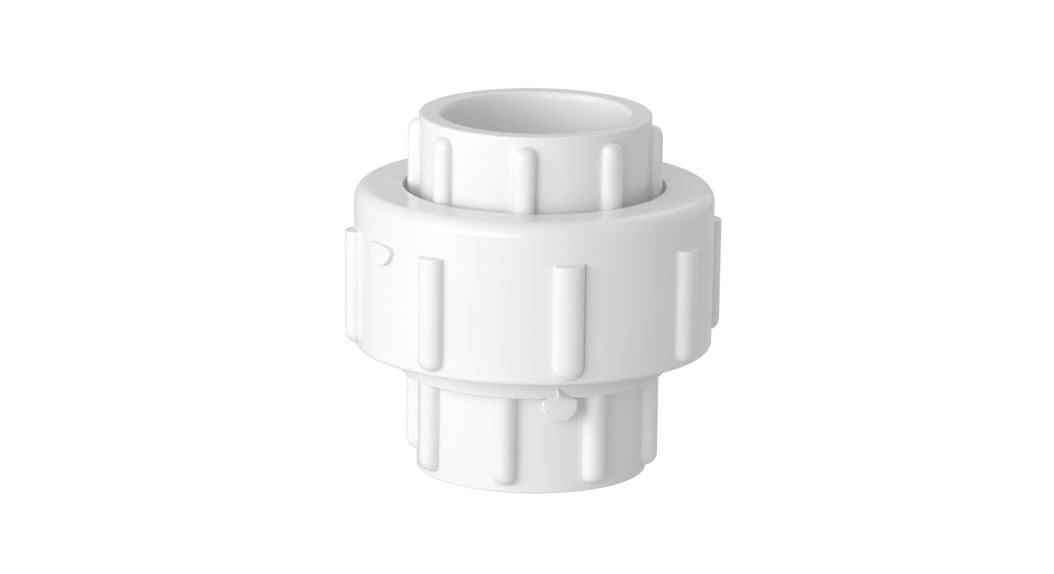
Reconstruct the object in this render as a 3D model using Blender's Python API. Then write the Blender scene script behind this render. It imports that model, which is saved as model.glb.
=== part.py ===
"""A slip-by-slip plastic pipe union for one-inch pipe: two socket ends, a coupling nut and a seal.

The union stands upright on its lower rim. Its axis is the Z axis, and the origin is the middle of the
lower rim. The tail piece's collar rests on the threaded body's top face, the seal lies in a groove in that
face, and the nut's lip holds the collar down. Both threads are right-handed, with the same lead, so turning
the nut anticlockwise as seen from above lifts it. Lengths are in metres.
"""

import math

import bmesh
import bpy

MM = 0.001

# How finely round shapes are cut. 45 degrees, the spacing of the ribs, is a whole number of segments.
SEGMENTS = 64
RIB_COUNT = 8
GAP = 0.3 * MM  # between faces of two pieces that touch

# Heights along the axis
HEIGHT = 65.0 * MM
NUT_BOTTOM = 22.7 * MM
NUT_TOP = 51.9 * MM
RING_BOTTOM = 18.1 * MM
BODY_FACE = 40.2 * MM  # the threaded body's sealing face
TAIL_FACE = BODY_FACE + GAP
LIP_THICKNESS = 5.4 * MM
LIP_BOTTOM = NUT_TOP - LIP_THICKNESS
COLLAR_TOP = LIP_BOTTOM - GAP

# Sockets and bore, the same in both ends
SOCKET_DEPTH = 22.5 * MM
SOCKET_MOUTH_R = 16.8 * MM
SOCKET_FOOT_R = 16.65 * MM
LEAD_IN_R = 17.2 * MM
LEAD_IN_DEPTH = 0.8 * MM
BORE_R = 13.3 * MM

# Tail piece
TAIL_R = 20.9 * MM
TAIL_RIB_TOP = 63.2 * MM
TAIL_RIB_HEIGHT = 2.0 * MM
TAIL_RIB_WIDTH = 4.2 * MM
TAIL_RIB_PHASE = math.radians(-4.8)
COLLAR_R = 25.2 * MM
COLLAR_EDGE = 0.5 * MM
RIM_EDGE = 0.45 * MM

# Threaded body
BODY_R = 20.7 * MM
BODY_RIB_BOTTOM = 1.55 * MM
BODY_RIB_HEIGHT = 2.6 * MM
BODY_RIB_WIDTH = 4.35 * MM
BODY_RIB_PHASE = math.radians(-13.0)
RING_R = 23.9 * MM
RING_EDGE = 0.6 * MM
NECK_TOP = 24.4 * MM
FACE_EDGE = 0.7 * MM

# Nut
NUT_R = 32.3 * MM
NUT_SHOULDER = 2.6 * MM  # radius of the round between the wall and the top face
NUT_FOOT_EDGE = 1.0 * MM
NUT_OPENING_R = 23.6 * MM
NUT_OPENING_EDGE = 0.4 * MM
NUT_ENTRY_R = 28.4 * MM
NUT_ENTRY_DEPTH = 0.8 * MM
NUT_INNER_FILLET = 1.0 * MM
NUT_RIB_TOP = 44.7 * MM
NUT_RIB_BOTTOM = 24.0 * MM
NUT_RIB_HEIGHT = 2.15 * MM
NUT_RIB_WIDTH = 5.2 * MM
NUT_RIB_PHASE = math.radians(11.3)

# Threads. Widths are measured along the axis.
LEAD = 4.0 * MM
MALE_ROOT_R = 25.3 * MM
MALE_CREST_R = 27.0 * MM
FEMALE_ROOT_R = 27.6 * MM
FEMALE_CREST_R = 25.75 * MM
THREAD_ROOT_WIDTH = 2.3 * MM
THREAD_CREST_WIDTH = 1.2 * MM
THREAD_BURIED = 0.5 * MM  # how far a ridge runs into the wall that carries it
THREAD_FADE = math.radians(40)
FEMALE_START = 24.9 * MM
FEMALE_TURNS = 3.25
MALE_START = FEMALE_START + LEAD / 2  # half a lead on, so that each ridge lies in the other's groove
MALE_TURNS = 2.75

# Seal and its groove
SEAL_R = 19.3 * MM
SEAL_WIDTH = 2.8 * MM
GROOVE_WIDTH = SEAL_WIDTH + 2 * GAP
GROOVE_DEPTH = 2.4 * MM
SEAL_HEIGHT = GROOVE_DEPTH - GAP
SEAL_STEPS = 10

# Ribs: each is half an ellipse across, with its sides carried down into the wall
RIB_BURIED = 1.0 * MM
RIB_SUNK = 0.1 * MM  # how far a rounded end dips below the wall's surface
RIB_ARC_STEPS = 6
RIB_END_STEPS = 4
RIB_END = 1.9 * MM  # length over which a rounded end falls to the wall

# Moulding gates: a pad on the nut, and a tab that hangs from the ring with a broken-off stub above it
PAD_ANGLE = math.radians(-57.0)
PAD_WIDTH = 7.8 * MM
PAD_TOP = 44.4 * MM
PAD_HEIGHT = 3.8 * MM
PAD_PROUD = 1.0 * MM
TAB_ANGLE = math.radians(12.4)
TAB_WIDTH = 6.3 * MM
TAB_HEIGHT = 4.0 * MM
# (distance to the right of the tab's middle, z)
STUB_OUTLINE = ((-0.8 * MM, 18.6 * MM), (2.6 * MM, 18.6 * MM), (-0.8 * MM, 20.7 * MM))
STUB_PEAK = (-0.2 * MM, 19.1 * MM)
STUB_PROUD = 0.9 * MM
STUB_SUNK = 0.15 * MM  # how far inside the ring its sides begin to slope
GATE_ARC_STEPS = 8
GATE_BURIED = 1.5 * MM

PVC_WHITE = (0.86, 0.86, 0.84, 1.0)
RUBBER_BLACK = (0.02, 0.02, 0.02, 1.0)


def clear_scene():
    for obj in list(bpy.data.objects):
        bpy.data.objects.remove(obj, do_unlink=True)


def material(name, color, roughness):
    made = bpy.data.materials.new(name)
    made.use_nodes = True
    shader = made.node_tree.nodes["Principled BSDF"]
    shader.inputs["Base Color"].default_value = color
    shader.inputs["Roughness"].default_value = roughness
    shader.inputs["Metallic"].default_value = 0.0
    return made


def add_object(name, bm, finish=None):
    """An object made from the bmesh. One with no finish is a helper for other objects' modifiers."""
    bmesh.ops.recalc_face_normals(bm, faces=bm.faces)
    mesh = bpy.data.meshes.new(name)
    bm.to_mesh(mesh)
    bm.free()
    mesh.shade_smooth()
    mesh.set_sharp_from_angle(angle=math.radians(35))
    obj = bpy.data.objects.new(name, mesh)
    bpy.context.scene.collection.objects.link(obj)
    if finish is None:
        obj.hide_render = True
        obj.display_type = "WIRE"
    else:
        mesh.materials.append(finish)
    return obj


def add_union(obj, helper):
    union = obj.modifiers.new("Add " + helper.name, "BOOLEAN")
    union.operation = "UNION"
    union.solver = "EXACT"
    union.object = helper


def point_at(angle, radius, z):
    """A point at an angle from -Y, the front, turning towards +X, the right."""
    return (radius * math.sin(angle), -radius * math.cos(angle), z)


def arc(middle_r, middle_z, radius, start, end, steps):
    """Points (r, z) along an arc, with angles in degrees from +r towards +z."""
    angles = [math.radians(start + (end - start) * i / steps) for i in range(steps + 1)]
    return [(middle_r + radius * math.cos(a), middle_z + radius * math.sin(a)) for a in angles]


def turned(profile):
    """A solid of revolution about Z, from a closed outline of (r, z) points."""
    bm = bmesh.new()
    verts = [bm.verts.new((r, 0.0, z)) for r, z in profile]
    edges = [bm.edges.new((a, b)) for a, b in zip(verts, verts[1:] + verts[:1])]
    bmesh.ops.spin(
        bm, geom=verts + edges, cent=(0, 0, 0), axis=(0, 0, 1), angle=math.tau, steps=SEGMENTS, use_merge=True
    )
    return bm


def loft(bm, sections):
    """A closed tube through sections with equal numbers of points, with both ends capped."""
    rings = [[bm.verts.new(p) for p in section] for section in sections]
    for low, high in zip(rings, rings[1:]):
        for i in range(len(low)):
            j = (i + 1) % len(low)
            bm.faces.new((low[i], low[j], high[j], high[i]))
    bm.faces.new(rings[0])
    bm.faces.new(rings[-1])


def rib_section(angle, wall_r, height, width, z, fullness):
    """A rib's outline at one height. Fullness runs from 0, just under the wall's surface, to 1."""
    crown = (height + RIB_SUNK) * fullness - RIB_SUNK
    half = width / 2 * (0.35 + 0.65 * fullness)
    points = [point_at(angle - half / wall_r, wall_r - RIB_BURIED, z)]
    for i in range(RIB_ARC_STEPS + 1):
        turn = math.pi * i / RIB_ARC_STEPS
        side = -half * math.cos(turn)
        rise = crown * math.sin(turn) if 0 < i < RIB_ARC_STEPS else -RIB_SUNK
        points.append(point_at(angle + side / wall_r, wall_r + rise, z))
    points.append(point_at(angle + half / wall_r, wall_r - RIB_BURIED, z))
    return points


def ribs(name, wall_r, height, width, phase, bottom, top, round_bottom=False, round_top=False):
    """Upright ribs evenly spaced round a wall. A rounded end swells like a quarter of an egg."""
    steps = [(bottom, 1.0), (top, 1.0)]
    curve = [math.pi / 2 * i / RIB_END_STEPS for i in range(RIB_END_STEPS + 1)]
    if round_bottom:
        steps[:1] = [(bottom + RIB_END * (1 - math.cos(a)), math.sin(a)) for a in curve]
    if round_top:
        steps[-1:] = [(top - RIB_END * (1 - math.cos(a)), math.sin(a)) for a in reversed(curve)]
    bm = bmesh.new()
    for k in range(RIB_COUNT):
        angle = phase + math.tau * k / RIB_COUNT
        loft(bm, [rib_section(angle, wall_r, height, width, z, full) for z, full in steps])
    return add_object(name, bm)


def thread_ridge(name, root_r, crest_r, start, turns):
    """A right-handed helical ridge that fades out at both ends, and stands from root_r to crest_r."""
    outward = math.copysign(1.0, crest_r - root_r)
    steps = round(turns * SEGMENTS)
    sections = []
    for i in range(steps + 1):
        angle = math.tau * i / SEGMENTS
        from_end = min(angle, math.tau * steps / SEGMENTS - angle)
        full = min(1.0, from_end / THREAD_FADE)
        crest = root_r + outward * (-THREAD_BURIED / 2 + (abs(crest_r - root_r) + THREAD_BURIED / 2) * full)
        foot = root_r - outward * THREAD_BURIED
        z = start + LEAD * i / SEGMENTS
        sections.append(
            [
                (foot, z - THREAD_ROOT_WIDTH / 2),
                (crest, z - THREAD_CREST_WIDTH / 2),
                (crest, z + THREAD_CREST_WIDTH / 2),
                (foot, z + THREAD_ROOT_WIDTH / 2),
            ]
        )
    bm = bmesh.new()
    turns_at = [math.tau * i / SEGMENTS for i in range(steps + 1)]
    loft(
        bm,
        [[(r * math.cos(a), r * math.sin(a), z) for r, z in section] for a, section in zip(turns_at, sections)],
    )
    return add_object(name, bm)


def gate_mark(name, angle, width, top, height, inner_r, outer_r):
    """A flat mark with a straight top and a half-round foot, pushed out from inner_r to outer_r."""
    outline = [(-width / 2, top)]
    for i in range(GATE_ARC_STEPS + 1):
        turn = math.pi * i / GATE_ARC_STEPS
        straight = max(0.0, height - width / 2)
        drop = min(height, width / 2) * math.sin(turn)
        outline.append((-width / 2 * math.cos(turn), top - straight - drop))
    outline.append((width / 2, top))
    if outline[0] == outline[1]:
        outline = outline[1:-1]
    bm = bmesh.new()
    loft(bm, [[point_at(angle + s / outer_r, r, z) for s, z in outline] for r in (inner_r, outer_r)])
    return add_object(name, bm)


def gate_stub(name):
    """A small three-sided point on the ring, left where the gate's runner broke away."""
    peak_s, peak_z = STUB_PEAK
    peak = [(peak_s + (s - peak_s) * 0.05, peak_z + (z - peak_z) * 0.05) for s, z in STUB_OUTLINE]
    sections = (
        (RING_R - GATE_BURIED, STUB_OUTLINE),
        (RING_R - STUB_SUNK, STUB_OUTLINE),
        (RING_R + STUB_PROUD, peak),
    )
    bm = bmesh.new()
    loft(bm, [[point_at(TAB_ANGLE + s / RING_R, r, z) for s, z in outline] for r, outline in sections])
    return add_object(name, bm)


def tail_piece(finish):
    profile = [
        (LEAD_IN_R, HEIGHT),
        *arc(TAIL_R - RIM_EDGE, HEIGHT - RIM_EDGE, RIM_EDGE, 90, 0, 2),
        (TAIL_R, COLLAR_TOP),
        (COLLAR_R - COLLAR_EDGE, COLLAR_TOP),
        (COLLAR_R, COLLAR_TOP - COLLAR_EDGE),
        (COLLAR_R, TAIL_FACE + COLLAR_EDGE),
        (COLLAR_R - COLLAR_EDGE, TAIL_FACE),
        (BORE_R, TAIL_FACE),
        (BORE_R, HEIGHT - SOCKET_DEPTH),
        (SOCKET_FOOT_R, HEIGHT - SOCKET_DEPTH),
        (SOCKET_MOUTH_R, HEIGHT - LEAD_IN_DEPTH),
    ]
    obj = add_object("tail_piece", turned(profile), finish)
    grips = ribs(
        "tail_ribs",
        TAIL_R,
        TAIL_RIB_HEIGHT,
        TAIL_RIB_WIDTH,
        TAIL_RIB_PHASE,
        COLLAR_TOP - COLLAR_EDGE,
        TAIL_RIB_TOP,
        round_top=True,
    )
    add_union(obj, grips)
    return obj


def threaded_body(finish):
    groove = (SEAL_R - GROOVE_WIDTH / 2, SEAL_R + GROOVE_WIDTH / 2)
    profile = [
        (LEAD_IN_R, 0.0),
        *arc(BODY_R - RIM_EDGE, RIM_EDGE, RIM_EDGE, -90, 0, 2),
        (BODY_R, RING_BOTTOM),
        *arc(RING_R - RING_EDGE, RING_BOTTOM + RING_EDGE, RING_EDGE, -90, 0, 2),
        (RING_R, NECK_TOP),
        (MALE_ROOT_R, NECK_TOP + MALE_ROOT_R - RING_R),
        (MALE_ROOT_R, BODY_FACE - FACE_EDGE),
        (MALE_ROOT_R - FACE_EDGE, BODY_FACE),
        (groove[1], BODY_FACE),
        (groove[1], BODY_FACE - GROOVE_DEPTH),
        (groove[0], BODY_FACE - GROOVE_DEPTH),
        (groove[0], BODY_FACE),
        (BORE_R, BODY_FACE),
        (BORE_R, SOCKET_DEPTH),
        (SOCKET_FOOT_R, SOCKET_DEPTH),
        (SOCKET_MOUTH_R, LEAD_IN_DEPTH),
    ]
    obj = add_object("threaded_body", turned(profile), finish)
    grips = ribs(
        "body_ribs",
        BODY_R,
        BODY_RIB_HEIGHT,
        BODY_RIB_WIDTH,
        BODY_RIB_PHASE,
        BODY_RIB_BOTTOM,
        RING_BOTTOM + RING_EDGE,
        round_bottom=True,
    )
    tab_top = RING_BOTTOM + 2 * RING_EDGE
    tab_height = TAB_HEIGHT + 2 * RING_EDGE
    tab = gate_mark(
        "body_gate", TAB_ANGLE, TAB_WIDTH, tab_top, tab_height, BODY_R - GATE_BURIED, RING_R - RING_EDGE / 4
    )
    for helper in (
        grips,
        tab,
        gate_stub("body_gate_stub"),
        thread_ridge("male_thread", MALE_ROOT_R, MALE_CREST_R, MALE_START, MALE_TURNS),
    ):
        add_union(obj, helper)
    return obj


def union_nut(finish):
    shoulder = arc(NUT_R - NUT_SHOULDER, NUT_TOP - NUT_SHOULDER, NUT_SHOULDER, 0, 90, 5)
    profile = [
        (NUT_ENTRY_R, NUT_BOTTOM),
        *arc(NUT_R - NUT_FOOT_EDGE, NUT_BOTTOM + NUT_FOOT_EDGE, NUT_FOOT_EDGE, -90, 0, 3),
        *shoulder,
        (NUT_OPENING_R + NUT_OPENING_EDGE, NUT_TOP),
        (NUT_OPENING_R, NUT_TOP - NUT_OPENING_EDGE),
        (NUT_OPENING_R, LIP_BOTTOM),
        (FEMALE_ROOT_R - NUT_INNER_FILLET, LIP_BOTTOM),
        (FEMALE_ROOT_R, LIP_BOTTOM - NUT_INNER_FILLET),
        (FEMALE_ROOT_R, NUT_BOTTOM + NUT_ENTRY_DEPTH),
    ]
    obj = add_object("union_nut", turned(profile), finish)
    grips = ribs(
        "nut_ribs",
        NUT_R,
        NUT_RIB_HEIGHT,
        NUT_RIB_WIDTH,
        NUT_RIB_PHASE,
        NUT_RIB_BOTTOM,
        NUT_RIB_TOP,
        round_bottom=True,
    )
    pad = gate_mark(
        "nut_gate", PAD_ANGLE, PAD_WIDTH, PAD_TOP, PAD_HEIGHT, NUT_R - GATE_BURIED, NUT_R + PAD_PROUD
    )
    for helper in (
        grips,
        pad,
        thread_ridge("female_thread", FEMALE_ROOT_R, FEMALE_CREST_R, FEMALE_START, FEMALE_TURNS),
    ):
        add_union(obj, helper)
    return obj


def o_ring(finish):
    """The seal, with its round section squeezed a little flat between the two faces."""
    middle = BODY_FACE - SEAL_HEIGHT / 2
    turns = [math.tau * i / SEAL_STEPS for i in range(SEAL_STEPS)]
    profile = [
        (SEAL_R + SEAL_WIDTH / 2 * math.cos(a), middle + SEAL_HEIGHT / 2 * math.sin(a)) for a in turns
    ]
    return add_object("o_ring", turned(profile), finish)


def main():
    clear_scene()
    tail = tail_piece(material("tail_pvc", PVC_WHITE, 0.25))
    nut = union_nut(material("nut_pvc", PVC_WHITE, 0.25))
    body = threaded_body(material("body_pvc", PVC_WHITE, 0.25))
    seal = o_ring(material("seal_rubber", RUBBER_BLACK, 0.5))
    nut.parent = tail
    seal.parent = body


main()
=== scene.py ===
import math

import bpy
import numpy as np
from mathutils import Matrix, Quaternion, Vector

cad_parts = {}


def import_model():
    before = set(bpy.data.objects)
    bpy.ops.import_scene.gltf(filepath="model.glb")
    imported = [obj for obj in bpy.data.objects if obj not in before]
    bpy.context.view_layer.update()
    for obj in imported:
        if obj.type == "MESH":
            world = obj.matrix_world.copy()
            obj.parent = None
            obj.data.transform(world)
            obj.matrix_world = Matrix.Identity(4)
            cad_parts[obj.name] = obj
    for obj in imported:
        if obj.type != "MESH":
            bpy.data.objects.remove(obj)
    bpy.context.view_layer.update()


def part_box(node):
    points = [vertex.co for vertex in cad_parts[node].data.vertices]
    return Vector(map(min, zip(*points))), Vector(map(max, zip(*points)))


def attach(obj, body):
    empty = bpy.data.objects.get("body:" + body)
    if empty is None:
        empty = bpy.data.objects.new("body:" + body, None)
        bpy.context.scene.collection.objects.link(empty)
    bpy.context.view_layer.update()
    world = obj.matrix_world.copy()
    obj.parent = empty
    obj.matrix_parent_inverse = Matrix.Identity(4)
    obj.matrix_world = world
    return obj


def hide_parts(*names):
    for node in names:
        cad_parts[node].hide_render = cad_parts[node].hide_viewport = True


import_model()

MM = 0.001

# ---------------------------------------------------------------- sizes, in metres

tail_low, tail_high = (Vector(c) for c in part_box("tail_piece"))
nut_low, nut_high = (Vector(c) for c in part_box("union_nut"))
body_high = Vector(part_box("threaded_body")[1])
seal_low, seal_high = (Vector(c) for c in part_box("o_ring"))

HEIGHT = tail_high.z
TAIL_FACE = tail_low.z
NUT_BOTTOM = nut_low.z
NUT_TOP = nut_high.z
BODY_FACE = body_high.z

GAP = 0.3 * MM
SOCKET_DEPTH = 22.5 * MM
SOCKET_MOUTH_R = 16.8 * MM
SOCKET_FOOT_R = 16.65 * MM
LEAD_IN_R = 17.15 * MM
LEAD_IN_DEPTH = 0.8 * MM
BORE_R = 13.3 * MM
RIM_EDGE = 0.4 * MM
EASE = 1.0 * MM  # how far past a boss's end the wall's columns are back in their even spacing
WALL_STEP = 1.0 * MM  # tallest step between two rows of a wall
ROW_GAP = 0.05 * MM  # between a rounded edge's last row and the wall's first
END_DRAFT = 0.08 * MM  # how far the face of a straight-cut boss end leans back

TAIL_R = 20.9 * MM
COLLAR_R = tail_high.x
COLLAR_EDGE = 0.45 * MM
LIP_BOTTOM = NUT_TOP - 5.4 * MM
COLLAR_TOP = LIP_BOTTOM - GAP

BODY_R = 20.7 * MM
RING_R = 23.85 * MM
RING_BOTTOM = 18.1 * MM
RING_EDGE = 0.45 * MM
NECK_TOP = 24.4 * MM

NUT_R = 32.3 * MM
NUT_DRAFT = 0.15 * MM  # how much narrower the wall is at its foot
NUT_SHOULDER = 2.6 * MM
NUT_FOOT_EDGE = 0.9 * MM
NUT_OPENING_R = 23.6 * MM
NUT_ENTRY_R = 28.4 * MM
NUT_ENTRY_DEPTH = 0.8 * MM

TAB_ANGLE = math.radians(12.4)
# The stub over the tab: its corners and its peak, each as (distance to the right of the tab's middle, z)
STUB_OUTLINE = ((-0.8 * MM, 18.0 * MM), (2.7 * MM, 17.9 * MM), (-0.8 * MM, 20.6 * MM))
STUB_PEAK = (-0.4 * MM, 18.9 * MM)
STUB_PROUD = 0.9 * MM

LEAD = 4.0 * MM
MALE_ROOT_R = 25.3 * MM
MALE_CREST_R = body_high.x
FEMALE_ROOT_R = 27.6 * MM
FEMALE_CREST_R = 25.75 * MM
THREAD_ROOT_WIDTH = 2.3 * MM
THREAD_CREST_WIDTH = 1.2 * MM
FEMALE_START = 24.9 * MM
FEMALE_TURNS = 3.25
MALE_START = FEMALE_START + LEAD / 2
MALE_TURNS = 2.75
THREAD_FADE_TURNS = 0.11
THREAD_ROW = 0.13 * MM

SEAL_R = 19.3 * MM
GROOVE_WIDTH = 3.4 * MM
GROOVE_DEPTH = 2.4 * MM

# ---------------------------------------------------------------- outline helpers


def arc(middle_r, middle_z, radius, start, end, steps):
    """Points (r, z) along an arc, with angles in degrees from +r towards +z."""
    angles = np.radians(np.linspace(start, end, steps + 1))
    return [(middle_r + radius * math.cos(a), middle_z + radius * math.sin(a)) for a in angles]


def line(start, end, steps):
    """Points (r, z) from start to end, without the ends themselves."""
    return [tuple(np.array(start) + (np.array(end) - start) * i / steps) for i in range(1, steps)]


def smooth(x):
    x = np.clip(x, 0.0, 1.0)
    return x * x * (3 - 2 * x)


def evenly(points, count):
    """The same curve through count points, evenly spaced along it."""
    points = np.array(points)
    along = np.concatenate([[0], np.cumsum(np.linalg.norm(np.diff(points, axis=0), axis=1))])
    wanted = np.linspace(0, along[-1], count)
    return np.stack([np.interp(wanted, along, points[:, i]) for i in range(points.shape[1])], axis=1)


# ---------------------------------------------------------------- bosses: ribs and gate marks on a wall


class Boss:
    """A raised shape on an upright wall: a rib, a gate pad or a tab.

    Across, it is a superellipse with a small fillet at each foot. Each end is a style and a length: "round"
    like a thumb, "disc" like the edge of a coin, "cut" straight, or "open" where it runs into another face.
    """

    def __init__(self, angle, width, height, bottom, top, low, high, **shape):
        self.angle = angle % math.tau
        self.half = width / 2
        self.height = height
        self.foot = shape.get("foot", 0.25 * MM)
        self.edge = shape.get("edge", 0.15 * MM)
        self.power = shape.get("power", 2.2)
        self.blunt = shape.get("blunt", 0.3)  # width share at the very end
        self.crease = shape.get("crease", 0.0)  # depth of a groove along the right-hand foot
        self.count = shape.get("count", 25)  # columns across
        self.across = self.cross_section()
        self.along = self.length_section(bottom, top, low, high)

    def cross_section(self):
        """Rows of (sideways, height) from one foot to the other, with height as a share of the crest."""
        turns = np.linspace(0, math.pi / 2, 12)
        fillet = [
            (-self.half - self.foot * (1 - math.sin(t)), self.foot * (1 - math.cos(t))) for t in turns
        ]
        crown = []
        for t in np.linspace(0, math.pi, 160):
            side = -math.copysign(abs(math.cos(t)) ** (2 / self.power), math.cos(t)) * self.half
            rise = self.foot + (self.height - self.foot) * math.sin(t) ** (2 / self.power)
            crown.append((side, rise))
        foot = [(-s, h) for s, h in reversed(fillet)][1:]
        if self.crease:
            foot = [(self.half + 0.05 * MM, -self.crease), (self.half + self.foot, 0.0)]
        curve = evenly(fillet[:-1] + crown + foot, self.count)
        curve[:, 1] /= self.height
        return curve

    def end_rows(self, style, length=0.0):
        """Rows of (distance into the boss, height share, width share), from outside the end inwards."""
        if style == "open":
            return [(-1.0 * MM, 1.0, 1.0), (0.0, 1.0, 1.0)]
        foot, edge = self.foot / self.height, self.edge / self.height
        turns = np.linspace(0, math.pi / 2, 5)
        rows = [(-self.foot * (1 - math.sin(t)), foot * (1 - math.cos(t)), self.blunt) for t in turns]
        if style == "round":
            for t in np.linspace(0, math.pi / 2, 12)[1:]:
                width = self.blunt + (1 - self.blunt) * math.sin(t) ** 0.9
                rows.append((length * (1 - math.cos(t)), foot + (1 - foot) * math.sin(t), width))
            return rows
        rows += [(END_DRAFT * f, foot + (1 - edge - foot) * f, 1.0) for f in (0.33, 0.67, 1.0)]
        for t in turns[1:]:
            rows.append((END_DRAFT + self.edge * (1 - math.cos(t)), 1 - edge * (1 - math.sin(t)), 1.0))
        if style == "cut":
            return [(d, h, 1.0) for d, h, _ in rows]
        rows += [(d, 1.0, 1.0) for d in np.linspace(rows[-1][0], length, 14)[1:]]

        def disc_width(d):
            return max(self.blunt, math.sqrt(1 - (1 - max(d, 0.0) / length) ** 2))

        return [(d, h, disc_width(d)) for d, h, _ in rows]

    def length_section(self, bottom, top, low, high):
        """Rows of (z, height share, width share) from below the boss to above it."""
        rows = [(bottom + d, h, w) for d, h, w in self.end_rows(*low)]
        rows += [(top - d, h, w) for d, h, w in reversed(self.end_rows(*high))]
        return np.array(rows)

    def shares(self, z):
        """(height share, width share) at one height on the wall."""
        zs, heights, widths = self.along.T
        if z < zs[0] or z > zs[-1]:
            return 0.0, self.blunt
        return np.interp(z, zs, heights), np.interp(z, zs, widths)

    def past_end(self, z):
        """0 on the boss, rising to 1 at EASE past either end."""
        return min(max(self.along[0, 0] - z, z - self.along[-1, 0], 0.0) / EASE, 1.0)

    def marks(self):
        """Heights where the wall needs a row."""
        steps = EASE * np.linspace(0.2, 1, 5)
        return [*(self.along[0, 0] - steps), *self.along[:, 0], *(self.along[-1, 0] + steps)]


# ---------------------------------------------------------------- turned pieces


class Turned:
    """A closed mesh of revolution, built up row by row round its outline. Its walls may carry bosses.

    Its columns crowd together on the bosses and are about plain apart elsewhere.
    """

    def __init__(self, radius, bosses=(), plain=0.8 * MM):
        self.bosses = sorted(bosses, key=lambda b: b.angle)
        self.rows = []
        angles, owners, places = [], [], []
        spans = [(b.angle, (b.half + b.foot) / radius) for b in self.bosses]
        for i, (middle, half) in enumerate(spans):
            following, next_half = spans[(i + 1) % len(spans)]
            count = self.bosses[i].count
            angles += list(middle + half * np.linspace(-1, 1, count))
            owners += [i] * count
            places += list(range(count))
            gap = (following - next_half - middle - half) % math.tau
            steps = max(2, round(gap * radius / plain))
            angles += [middle + half + gap * k / steps for k in range(1, steps)]
            owners += [-1] * (steps - 1)
            places += [0] * (steps - 1)
        if not spans:
            count = round(math.tau * radius / plain)
            angles = list(np.linspace(0, math.tau, count, endpoint=False))
            owners, places = [-1] * count, [0] * count
        self.angles = np.array(angles)
        self.owners = np.array(owners)
        self.places = np.array(places)

    def add(self, angles, r, z):
        r = np.broadcast_to(r, angles.shape)
        z = np.broadcast_to(z, angles.shape)
        self.rows.append(np.stack([r * np.sin(angles), -r * np.cos(angles), z], axis=1))
        self.last_angles, self.last_r = angles, r

    def plain(self, points):
        """Plain round rows through (r, z) points."""
        for r, z in points:
            self.add(self.angles, r, z)

    def boss_at(self, z, wall_r):
        """(angles, rise) of every column at one height of a wall."""
        angles = self.angles.copy()
        rise = np.zeros_like(angles)
        for i, boss in enumerate(self.bosses):
            own = self.owners == i
            height, width = boss.shares(z)
            side, share = boss.across[self.places[own]].T
            angles[own] += (boss.angle + side * width / wall_r - angles[own]) * (1 - boss.past_end(z))
            rise[own] = share * height * boss.height
        return angles, rise

    def wall(self, zs, radius):
        """Rows up or down a wall. radius is a function of z."""
        for z in zs:
            wall_r = radius(z)
            angles, rise = self.boss_at(z, wall_r)
            self.add(angles, wall_r + rise, z)

    def knots(self, low, high):
        """Heights for a wall's rows: every height where a boss changes, and even steps between."""
        marks = [low, high]
        for boss in self.bosses:
            marks += [z for z in boss.marks() if low < z < high]
        marks = sorted(set(np.round(marks, 7)))
        zs = []
        for a, b in zip(marks, marks[1:]):
            count = max(1, math.ceil((b - a) / WALL_STEP))
            zs += [a + (b - a) * k / count for k in range(count)]
        return np.array(zs + [high])

    def ledge(self, face_z, fillet, outer_r):
        """From the last wall row, a fillet and then a flat face at height face_z, out to outer_r."""
        angles, inner = self.last_angles, self.last_r.copy()
        up = math.copysign(1.0, face_z - self.rows[-1][0, 2])
        for t in np.linspace(0, math.pi / 2, 5)[1:]:
            self.add(angles, inner + fillet * (1 - math.cos(t)), face_z - up * fillet * (1 - math.sin(t)))
        start = inner + fillet
        for share in (0.25, 0.5, 0.75, 1.0):
            merged = angles + (self.angles - angles) * share
            self.add(merged, start + (outer_r - start) * share, face_z)

    def bridge(self, first, last, share):
        """Pulls the rows between two rows towards straight lines between them, by each column's share."""
        share = share[:, None]
        for i in range(first + 1, last):
            t = (i - first) / (last - first)
            straight = self.rows[first] * (1 - t) + self.rows[last] * t
            self.rows[i] = self.rows[i] * (1 - share) + straight * share

    def emboss(self, first, last, relief):
        """Raises rows by relief of (angles, z, r)."""
        for i in range(first, last + 1):
            x, y, z = self.rows[i].T
            r = np.hypot(x, y)
            grown = 1 + relief(np.arctan2(x, -y), z, r) / r
            self.rows[i] = np.stack([x * grown, y * grown, z], axis=1)

    def build(self, name, finish):
        grid = np.array(self.rows)
        count, around = grid.shape[:2]
        index = np.arange(count * around).reshape(count, around)
        below = np.roll(index, -1, axis=0)
        faces = np.stack([index, np.roll(index, -1, axis=1), np.roll(below, -1, axis=1), below], axis=-1)
        faces = faces.reshape(-1, 4)
        mesh = bpy.data.meshes.new(name)
        mesh.from_pydata(grid.reshape(-1, 3).tolist(), [], faces.tolist())
        mesh.update()
        if volume(mesh) < 0:
            mesh.flip_normals()
        mesh.shade_smooth()
        mesh.set_sharp_from_angle(angle=math.radians(48))
        mesh.materials.append(finish)
        obj = bpy.data.objects.new(name, mesh)
        bpy.context.scene.collection.objects.link(obj)
        return obj


def volume(mesh):
    mesh.calc_loop_triangles()
    points = np.empty(len(mesh.vertices) * 3)
    mesh.vertices.foreach_get("co", points)
    points = points.reshape(-1, 3)
    triangles = np.empty(len(mesh.loop_triangles) * 3, np.int32)
    mesh.loop_triangles.foreach_get("vertices", triangles)
    a, b, c = (points[triangles.reshape(-1, 3)[:, i]] for i in range(3))
    return float(np.einsum("ij,ij->i", a, np.cross(b, c)).sum())


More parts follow.
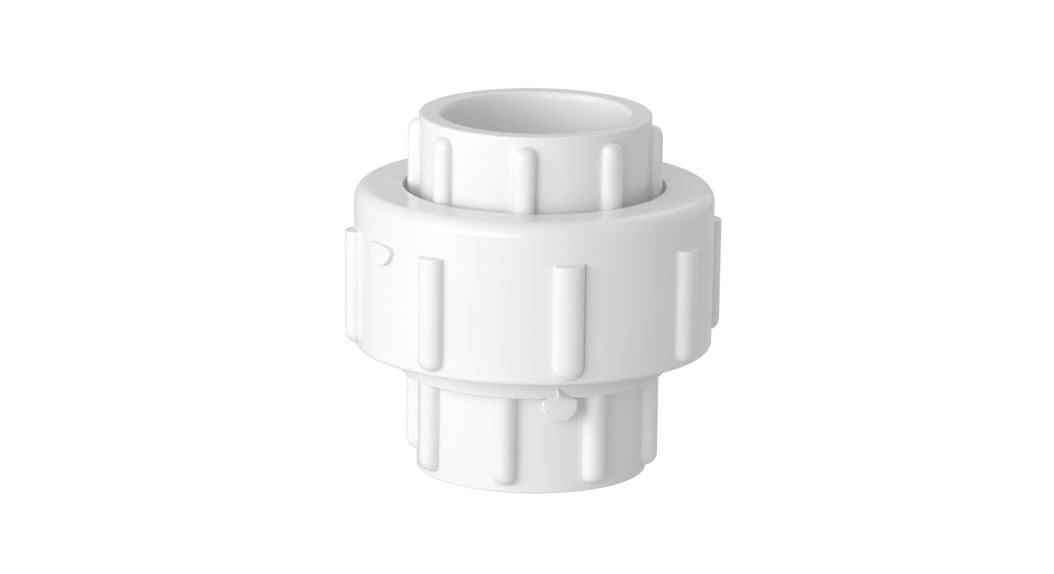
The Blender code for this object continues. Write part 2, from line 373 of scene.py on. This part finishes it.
def thread(start, turns, height):
    """Relief of a right-handed thread: a rounded trapezoid that fades out at both ends."""

    def relief(angles, z):
        turned = ((angles - math.pi / 2) % math.tau) / math.tau
        which = np.round((z - start) / LEAD - turned)
        along = turned + which
        away = np.abs(z - start - LEAD * along)
        flank = (THREAD_ROOT_WIDTH - THREAD_CREST_WIDTH) / 2
        ramp = np.clip((THREAD_ROOT_WIDTH / 2 - away) / flank, 0, 1)
        shape = 0.45 * ramp + 0.55 * smooth(ramp)
        fade = smooth(along / THREAD_FADE_TURNS) * smooth((turns - along) / THREAD_FADE_TURNS)
        return height * shape * fade

    return relief


def gate_stub(angles, z, r):
    """Height of the small three-sided point left on the ring where the gate's runner broke away."""
    corners = np.array(STUB_OUTLINE)
    side = (angles - TAB_ANGLE) * RING_R
    heights = []
    for start, end in zip(corners, np.roll(corners, -1, axis=0)):
        inward = np.array([start[1] - end[1], end[0] - start[0]])
        from_edge = (side - start[0]) * inward[0] + (z - start[1]) * inward[1]
        heights.append(from_edge / ((np.array(STUB_PEAK) - start) @ inward))
    return STUB_PROUD * np.clip(np.min(heights, axis=0), 0, 1) * (r > RING_R - 0.2 * MM)


RIB_COUNT = 8


def rib_ring(phase_degrees, **settings):
    """Ribs evenly round the axis, the first at phase_degrees."""
    phase = math.radians(phase_degrees)
    return [Boss(phase + math.tau * k / RIB_COUNT, **settings) for k in range(RIB_COUNT)]


def socket(piece, mouth_z, inward):
    """The inside of a slip socket, from the rim's inner edge to the through bore. inward is -1 or +1."""
    stop_z = mouth_z + inward * SOCKET_DEPTH
    foot = 0.5 * MM
    edge = 0.35 * MM
    points = [
        (LEAD_IN_R + 0.10 * MM, mouth_z),
        (LEAD_IN_R, mouth_z + inward * 0.06 * MM),
        (LEAD_IN_R - 0.06 * MM, mouth_z + inward * 0.18 * MM),
        (SOCKET_MOUTH_R + 0.03 * MM, mouth_z + inward * (LEAD_IN_DEPTH - 0.12 * MM)),
        (SOCKET_MOUTH_R - 0.01 * MM, mouth_z + inward * (LEAD_IN_DEPTH + 0.12 * MM)),
    ]
    points += line(points[-1], (SOCKET_FOOT_R, stop_z - inward * foot), 10)
    points += [
        (SOCKET_FOOT_R - foot * (1 - math.cos(t)), stop_z - inward * foot * (1 - math.sin(t)))
        for t in np.linspace(0, math.pi / 2, 5)
    ]
    points += line(points[-1], (BORE_R + edge, stop_z), 3)
    points += [
        (BORE_R + edge * (1 - math.sin(t)), stop_z + inward * edge * (1 - math.cos(t)))
        for t in np.linspace(0, math.pi / 2, 4)
    ]
    piece.plain(points)


# ---------------------------------------------------------------- the pieces


def tail_piece(finish):
    ribs = rib_ring(
        -4.8, width=3.95 * MM, height=1.98 * MM, bottom=COLLAR_TOP, top=63.2 * MM, low=("open",),
        high=("round", 1.9 * MM), blunt=0.25, power=2.05, foot=0.4 * MM,
    )
    piece = Turned(TAIL_R, ribs)
    socket(piece, HEIGHT, -1)
    bore_edge = 0.4 * MM
    piece.plain(line((BORE_R, HEIGHT - SOCKET_DEPTH), (BORE_R, TAIL_FACE + bore_edge), 3))
    piece.plain(arc(BORE_R + bore_edge, TAIL_FACE + bore_edge, bore_edge, 180, 270, 3))
    piece.plain(line((BORE_R + bore_edge, TAIL_FACE), (COLLAR_R - COLLAR_EDGE, TAIL_FACE), 12))
    piece.plain(arc(COLLAR_R - COLLAR_EDGE, TAIL_FACE + COLLAR_EDGE, COLLAR_EDGE, -90, 0, 4))
    piece.plain(arc(COLLAR_R - COLLAR_EDGE, COLLAR_TOP - COLLAR_EDGE, COLLAR_EDGE, 0, 90, 4))
    fillet = 0.4 * MM
    # the ledge is worked out from the wall outwards, so its rows are added in reverse
    ledge = Turned(TAIL_R, ribs)
    ledge.wall([COLLAR_TOP + fillet], lambda z: TAIL_R)
    ledge.ledge(COLLAR_TOP, fillet, COLLAR_R - COLLAR_EDGE)
    piece.rows += ledge.rows[-2:0:-1]
    piece.wall(piece.knots(COLLAR_TOP + fillet, HEIGHT - RIM_EDGE - ROW_GAP), lambda z: TAIL_R)
    piece.plain(arc(TAIL_R - RIM_EDGE, HEIGHT - RIM_EDGE, RIM_EDGE, 0, 90, 5))
    piece.plain(line((TAIL_R - RIM_EDGE, HEIGHT), (LEAD_IN_R + 0.1 * MM, HEIGHT), 5))
    return piece.build("tail_piece_visual", finish)


def union_nut(finish):
    ribs = rib_ring(
        11.3, width=4.75 * MM, height=2.1 * MM, bottom=24.0 * MM, top=44.6 * MM, low=("round", 2.3 * MM),
        high=("cut",), blunt=0.12, power=2.0, foot=0.35 * MM, edge=0.2 * MM, count=29,
    )
    ribs[0] = Boss(
        ribs[0].angle, width=5.3 * MM, height=2.1 * MM, bottom=23.9 * MM, top=44.6 * MM,
        low=("round", 2.5 * MM), high=("cut",), blunt=0.08, power=1.95, foot=0.4 * MM, edge=0.2 * MM,
        crease=0.5 * MM, count=49,
    )
    pad = Boss(
        math.radians(-56.6), width=7.5 * MM, height=1.0 * MM, bottom=41.0 * MM, top=44.9 * MM,
        low=("disc", 3.4 * MM), high=("disc", 0.8 * MM), blunt=0.12, power=9.0, foot=0.25 * MM,
        edge=0.25 * MM, count=45,
    )
    piece = Turned(NUT_R, [*ribs, pad])

    def wall_r(z):
        return NUT_R - NUT_DRAFT * (NUT_TOP - NUT_SHOULDER - z) / (NUT_TOP - NUT_SHOULDER - NUT_BOTTOM)

    foot_r = wall_r(NUT_BOTTOM + NUT_FOOT_EDGE)
    piece.plain(line((NUT_ENTRY_R, NUT_BOTTOM), (foot_r - NUT_FOOT_EDGE, NUT_BOTTOM), 4))
    piece.plain(arc(foot_r - NUT_FOOT_EDGE, NUT_BOTTOM + NUT_FOOT_EDGE, NUT_FOOT_EDGE, -90, 0, 7))
    start, end = NUT_BOTTOM + NUT_FOOT_EDGE + ROW_GAP, NUT_TOP - NUT_SHOULDER - ROW_GAP
    piece.wall(piece.knots(start, end), wall_r)
    piece.plain(arc(NUT_R - NUT_SHOULDER, NUT_TOP - NUT_SHOULDER, NUT_SHOULDER, 0, 90, 14))
    edge = 0.3 * MM
    piece.plain(line((NUT_R - NUT_SHOULDER, NUT_TOP), (NUT_OPENING_R + edge, NUT_TOP), 8))
    piece.plain(arc(NUT_OPENING_R + edge, NUT_TOP - edge, edge, 90, 180, 4))
    piece.plain(line((NUT_OPENING_R, NUT_TOP - edge), (NUT_OPENING_R, LIP_BOTTOM + edge), 4))
    piece.plain(arc(NUT_OPENING_R + edge, LIP_BOTTOM + edge, edge, 180, 270, 4))
    fillet = 0.9 * MM
    piece.plain(line((NUT_OPENING_R + edge, LIP_BOTTOM), (FEMALE_ROOT_R - fillet, LIP_BOTTOM), 4))
    piece.plain(arc(FEMALE_ROOT_R - fillet, LIP_BOTTOM - fillet, fillet, 90, 0, 5))
    relief = thread(FEMALE_START, FEMALE_TURNS, FEMALE_CREST_R - FEMALE_ROOT_R)
    top = FEMALE_START + (FEMALE_TURNS + 0.5) * LEAD
    bottom = NUT_BOTTOM + NUT_ENTRY_DEPTH
    piece.plain(line((FEMALE_ROOT_R, LIP_BOTTOM - fillet), (FEMALE_ROOT_R, top), 5))
    for z in np.linspace(top, bottom, round((top - bottom) / THREAD_ROW)):
        piece.add(piece.angles, FEMALE_ROOT_R + relief(piece.angles, z), z)
    piece.plain(line((FEMALE_ROOT_R, bottom), (NUT_ENTRY_R, NUT_BOTTOM), 3))
    piece.plain([(NUT_ENTRY_R, NUT_BOTTOM)])
    return piece.build("union_nut_visual", finish)


def threaded_body(finish):
    ribs = rib_ring(
        -13.0, width=4.1 * MM, height=2.5 * MM, bottom=1.55 * MM, top=RING_BOTTOM,
        low=("round", 2.2 * MM), high=("open",), blunt=0.3, power=2.1, foot=0.35 * MM,
    )
    tab = Boss(
        TAB_ANGLE, width=5.8 * MM, height=RING_R + 0.03 * MM - BODY_R, bottom=14.1 * MM, top=RING_BOTTOM,
        low=("disc", 2.9 * MM), high=("open",), blunt=0.06, power=16.0, foot=0.15 * MM, count=73,
    )
    piece = Turned(BODY_R, [*ribs, tab])
    socket(piece, 0.0, 1)
    bore_edge = 0.3 * MM
    piece.plain(line((BORE_R, SOCKET_DEPTH), (BORE_R, BODY_FACE - bore_edge), 6))
    piece.plain(arc(BORE_R + bore_edge, BODY_FACE - bore_edge, bore_edge, 180, 90, 3))
    inner, outer = SEAL_R - GROOVE_WIDTH / 2, SEAL_R + GROOVE_WIDTH / 2
    groove_floor = BODY_FACE - GROOVE_DEPTH
    edge = 0.2 * MM
    piece.plain(line((BORE_R + bore_edge, BODY_FACE), (inner - edge, BODY_FACE), 4))
    piece.plain(arc(inner - edge, BODY_FACE - edge, edge, 90, 0, 3))
    piece.plain(line((inner, BODY_FACE - edge), (inner, groove_floor + edge), 3))
    piece.plain(arc(inner + edge, groove_floor + edge, edge, 180, 270, 3))
    piece.plain(arc(outer - edge, groove_floor + edge, edge, -90, 0, 3))
    piece.plain(line((outer, groove_floor + edge), (outer, BODY_FACE - edge), 3))
    piece.plain(arc(outer + edge, BODY_FACE - edge, edge, 180, 90, 3))
    face_edge = 0.6 * MM
    piece.plain(line((outer + edge, BODY_FACE), (MALE_ROOT_R - face_edge, BODY_FACE), 4))
    piece.plain(arc(MALE_ROOT_R - face_edge, BODY_FACE - face_edge, face_edge, 90, 0, 4))
    relief = thread(MALE_START, MALE_TURNS, MALE_CREST_R - MALE_ROOT_R)
    cone = NECK_TOP + MALE_ROOT_R - RING_R
    top = BODY_FACE - face_edge - 0.02 * MM
    for z in np.linspace(top, cone, round((top - cone) / THREAD_ROW)):
        piece.add(piece.angles, MALE_ROOT_R + relief(piece.angles, z), z)
    piece.plain(line((MALE_ROOT_R, cone), (RING_R, NECK_TOP), 3))
    stub_top = STUB_OUTLINE[-1][1] + 0.2 * MM
    piece.plain(line((RING_R, NECK_TOP), (RING_R, stub_top), 4))
    stub_row = len(piece.rows)
    piece.plain(line((RING_R, stub_top), (RING_R, RING_BOTTOM + RING_EDGE), 15))
    ring_row = len(piece.rows)
    piece.plain(arc(RING_R - RING_EDGE, RING_BOTTOM + RING_EDGE, RING_EDGE, 0, -90, 4))
    fillet = 0.25 * MM
    ledge = Turned(BODY_R, [*ribs, tab])
    ledge.wall([RING_BOTTOM - fillet], lambda z: BODY_R)
    ledge.last_r = np.minimum(ledge.last_r, RING_R - RING_EDGE - ROW_GAP)
    ledge.ledge(RING_BOTTOM, 0.04 * MM, RING_R - RING_EDGE)
    piece.rows += ledge.rows[-2:0:-1]
    wall_row = len(piece.rows)
    piece.wall(piece.knots(RIM_EDGE + ROW_GAP, RING_BOTTOM - fillet)[::-1], lambda z: BODY_R)
    rise = piece.boss_at(RING_BOTTOM - fillet, BODY_R)[1]
    on_tab = piece.owners == piece.bosses.index(tab)
    piece.bridge(ring_row, wall_row, np.where(on_tab, rise / tab.height, 0))
    piece.emboss(stub_row, wall_row, gate_stub)
    piece.plain(arc(BODY_R - RIM_EDGE, RIM_EDGE, RIM_EDGE, 0, -90, 5))
    piece.plain(line((BODY_R - RIM_EDGE, 0.0), (LEAD_IN_R + 0.1 * MM, 0.0), 5))
    return piece.build("threaded_body_visual", finish)


def o_ring(finish):
    middle = (seal_low.z + seal_high.z) / 2
    half_width, half_height = 1.4 * MM, (seal_high.z - seal_low.z) / 2
    piece = Turned(SEAL_R, plain=1.0 * MM)
    flash = 0.04 * MM  # the thin moulding line round the inside and the outside
    for t in np.linspace(0, math.tau, 32, endpoint=False):
        grow = flash * max(0.0, 1 - abs(math.sin(t)) / 0.12)
        reach = half_width - flash + grow
        piece.plain([(SEAL_R + reach * math.cos(t), middle + half_height * math.sin(t))])
    return piece.build("o_ring_visual", finish)


# ---------------------------------------------------------------- materials


def new_material(name):
    made = bpy.data.materials.new(name)
    made.use_nodes = True
    nodes, links = made.node_tree.nodes, made.node_tree.links
    return made, nodes, links, nodes["Principled BSDF"]


def noise(nodes, links, coordinates, scale, detail=3.0):
    node = nodes.new("ShaderNodeTexNoise")
    node.inputs["Scale"].default_value = scale
    node.inputs["Detail"].default_value = detail
    node.inputs["Roughness"].default_value = 0.5
    links.new(coordinates, node.inputs["Vector"])
    return node.outputs["Fac"]


def ramp(nodes, links, factor, low, high, low_out, high_out):
    node = nodes.new("ShaderNodeMapRange")
    for name, value in (("From Min", low), ("From Max", high), ("To Min", low_out), ("To Max", high_out)):
        node.inputs[name].default_value = value
    links.new(factor, node.inputs["Value"])
    return node.outputs["Result"]


def combine(nodes, links, operation, a, b):
    node = nodes.new("ShaderNodeMath")
    node.operation = operation
    links.new(a, node.inputs[0])
    links.new(b, node.inputs[1])
    return node.outputs["Value"]


def mix_color(nodes, links, factor, a, b):
    node = nodes.new("ShaderNodeMix")
    node.data_type = "RGBA"
    links.new(factor, node.inputs["Factor"])
    for socket_name, value in (("A", a), ("B", b)):
        target = [s for s in node.inputs if s.name == socket_name and s.type == "RGBA"][0]
        if isinstance(value, tuple):
            target.default_value = value
        else:
            links.new(value, target)
    return [s for s in node.outputs if s.type == "RGBA"][0]


def bump(nodes, links, height, distance, strength, normal=None):
    node = nodes.new("ShaderNodeBump")
    node.inputs["Distance"].default_value = distance
    node.inputs["Strength"].default_value = strength
    links.new(height, node.inputs["Height"])
    if normal is not None:
        links.new(normal, node.inputs["Normal"])
    return node.outputs["Normal"]


def moulded_pvc(name, seed):
    """Glossy white rigid PVC: faint mottle, shallow moulding waves, orange peel and a few dark specks."""
    made, nodes, links, shader = new_material(name)
    place = nodes.new("ShaderNodeTexCoord")
    shift = nodes.new("ShaderNodeMapping")
    shift.inputs["Location"].default_value = (seed * 0.137, seed * 0.071, seed * 0.053)
    links.new(place.outputs["Object"], shift.inputs["Vector"])
    here = shift.outputs["Vector"]

    mottle = ramp(nodes, links, noise(nodes, links, here, 45.0), 0.35, 0.65, 0.0, 1.0)
    white = mix_color(nodes, links, mottle, (0.845, 0.845, 0.845, 1), (0.875, 0.875, 0.875, 1))

    specks = nodes.new("ShaderNodeTexVoronoi")
    specks.inputs["Scale"].default_value = 130.0
    links.new(here, specks.inputs["Vector"])
    near = ramp(nodes, links, specks.outputs["Distance"], 0.022, 0.045, 1.0, 0.0)
    chosen = nodes.new("ShaderNodeSeparateColor")
    links.new(specks.outputs["Color"], chosen.inputs["Color"])
    few = ramp(nodes, links, chosen.outputs["Red"], 0.92, 0.93, 0.0, 0.45)
    dirt = combine(nodes, links, "MULTIPLY", near, few)
    color = mix_color(nodes, links, dirt, white, (0.10, 0.10, 0.10, 1))
    links.new(color, shader.inputs["Base Color"])

    gloss = noise(nodes, links, here, 160.0, detail=4.0)
    links.new(ramp(nodes, links, gloss, 0.3, 0.7, 0.07, 0.15), shader.inputs["Roughness"])
    waves = bump(nodes, links, noise(nodes, links, here, 95.0, detail=1.0), 0.05 * MM, 0.5)
    peel = bump(nodes, links, noise(nodes, links, here, 1400.0, detail=2.0), 0.004 * MM, 0.35, waves)
    links.new(peel, shader.inputs["Normal"])
    shader.inputs["IOR"].default_value = 1.53
    shader.inputs["Specular IOR Level"].default_value = 0.36
    shader.inputs["Subsurface Weight"].default_value = 0.12
    shader.inputs["Subsurface Radius"].default_value = (1.0, 1.0, 1.0)
    shader.inputs["Subsurface Scale"].default_value = 0.8 * MM
    return made


def seal_rubber():
    made, nodes, links, shader = new_material("seal_rubber_finish")
    place = nodes.new("ShaderNodeTexCoord")
    here = place.outputs["Object"]
    dust = ramp(nodes, links, noise(nodes, links, here, 260.0, detail=4.0), 0.45, 0.75, 0.0, 1.0)
    color = mix_color(nodes, links, dust, (0.012, 0.012, 0.012, 1), (0.035, 0.034, 0.033, 1))
    links.new(color, shader.inputs["Base Color"])
    links.new(ramp(nodes, links, dust, 0.0, 1.0, 0.42, 0.62), shader.inputs["Roughness"])
    grain = bump(nodes, links, noise(nodes, links, here, 2200.0, detail=2.0), 0.01 * MM, 0.6)
    links.new(grain, shader.inputs["Normal"])
    return made


# ---------------------------------------------------------------- stage, light and camera

SOFTBOX_DISTANCE = 1.3


def lit_for_camera(nodes, links, camera_shader, other_shader, share):
    """Shows mostly camera_shader to the camera and other_shader to the object's light."""
    path = nodes.new("ShaderNodeLightPath")
    scale = nodes.new("ShaderNodeMath")
    scale.operation = "MULTIPLY"
    scale.inputs[1].default_value = share
    links.new(path.outputs["Is Camera Ray"], scale.inputs[0])
    mix = nodes.new("ShaderNodeMixShader")
    links.new(scale.outputs["Value"], mix.inputs["Fac"])
    links.new(other_shader, mix.inputs[1])
    links.new(camera_shader, mix.inputs[2])
    return mix.outputs["Shader"]


def floor():
    """A pale floor that shows as white paper and gives the object an even glow from below."""
    half = 6.0
    corners = [(-half, -half, 0), (half, -half, 0), (half, half, 0), (-half, half, 0)]
    mesh = bpy.data.meshes.new("floor")
    mesh.from_pydata(corners, [], [(0, 1, 2, 3)])
    made = bpy.data.materials.new("floor_paper")
    made.use_nodes = True
    nodes, links = made.node_tree.nodes, made.node_tree.links
    shader = nodes["Principled BSDF"]
    shader.inputs["Base Color"].default_value = (0.15, 0.15, 0.15, 1)
    shader.inputs["Roughness"].default_value = 0.9
    shader.inputs["Emission Color"].default_value = (1, 1, 1, 1)
    shader.inputs["Emission Strength"].default_value = 0.42
    glow = nodes.new("ShaderNodeEmission")
    glow.inputs["Color"].default_value = (1, 1, 1, 1)
    glow.inputs["Strength"].default_value = 1.06
    mixed = lit_for_camera(nodes, links, glow.outputs["Emission"], shader.outputs["BSDF"], 0.93)
    links.new(mixed, nodes["Material Output"].inputs["Surface"])
    mesh.materials.append(made)
    obj = bpy.data.objects.new("floor", mesh)
    obj.location.z = -0.02 * MM
    bpy.context.scene.collection.objects.link(obj)


def world(ambient):
    """White to the camera, and an even light of strength ambient on the object."""
    made = bpy.data.worlds.new("studio")
    made.use_nodes = True
    nodes, links = made.node_tree.nodes, made.node_tree.links
    nodes.clear()
    shown = nodes.new("ShaderNodeBackground")
    shown.inputs["Color"].default_value = (1, 1, 1, 1)
    shown.inputs["Strength"].default_value = 1.05
    lighting = nodes.new("ShaderNodeBackground")
    lighting.inputs["Color"].default_value = (1, 1, 1, 1)
    lighting.inputs["Strength"].default_value = ambient
    output = nodes.new("ShaderNodeOutputWorld")
    mixed = lit_for_camera(nodes, links, shown.outputs["Background"], lighting.outputs["Background"], 1.0)
    links.new(mixed, output.inputs["Surface"])
    bpy.context.scene.world = made


def softbox(name, azimuth, elevation, width, height, power):
    """A rectangular area light facing the object. Azimuth 0 is the camera's side, positive to the right."""
    data = bpy.data.lights.new(name, "AREA")
    data.shape = "RECTANGLE"
    data.size, data.size_y = width, height
    data.energy = power
    obj = bpy.data.objects.new(name, data)
    a, e = math.radians(azimuth), math.radians(elevation)
    away = Vector((math.sin(a) * math.cos(e), -math.cos(a) * math.cos(e), math.sin(e)))
    obj.location = Vector((0, 0, HEIGHT / 2)) + away * SOFTBOX_DISTANCE
    obj.rotation_euler = away.to_track_quat("Z", "Y").to_euler()
    bpy.context.scene.collection.objects.link(obj)


def camera():
    """Slightly above the object and far off, with a long lens, a touch rolled and aimed off centre."""
    elevation = math.radians(13.65)
    distance = 1.310
    target = Vector((0, 0, 36.2 * MM))
    data = bpy.data.cameras.new("camera")
    data.sensor_width = 36.0
    data.lens = 249.1
    data.clip_end = 20.0
    obj = bpy.data.objects.new("camera", data)
    back = Vector((0, -math.cos(elevation), math.sin(elevation)))
    eye = target + back * distance
    right = Vector((1, 0, 0))
    up = back.cross(right)
    aside, below = 1.13 * MM, 3.24 * MM
    aim = target - right * aside - up * below
    look = (eye - aim).to_track_quat("Z", "Y")
    roll = Quaternion((0, 0, 1), math.radians(0.727))
    obj.matrix_world = Matrix.Translation(eye) @ (look @ roll).to_matrix().to_4x4()
    bpy.context.scene.collection.objects.link(obj)
    bpy.context.scene.camera = obj


def main():
    pieces = (
        (tail_piece(moulded_pvc("tail_finish", 1)), "tail", "tail_piece", "white_pvc"),
        (union_nut(moulded_pvc("nut_finish", 2)), "nut", "union_nut", "white_pvc"),
        (threaded_body(moulded_pvc("body_finish", 3)), "threaded_half", "threaded_body", "white_pvc"),
        (o_ring(seal_rubber()), "threaded_half", "o_ring", "seal_rubber"),
    )
    for piece, body, node, slot in pieces:
        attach(piece, body)
        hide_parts(node)
    floor()
    world(0.485)
    softbox("key", -43, 14, 1.9, 1.0, 10.8)
    softbox("key_core", -41, 6, 1.2, 0.6, 5.2)
    softbox("back", 180, 50, 1.6, 1.0, 3.6)
    softbox("right_back", 135, 20, 1.3, 1.2, 1.7)
    camera()
    bpy.context.scene.view_settings.view_transform = "Standard"


main()
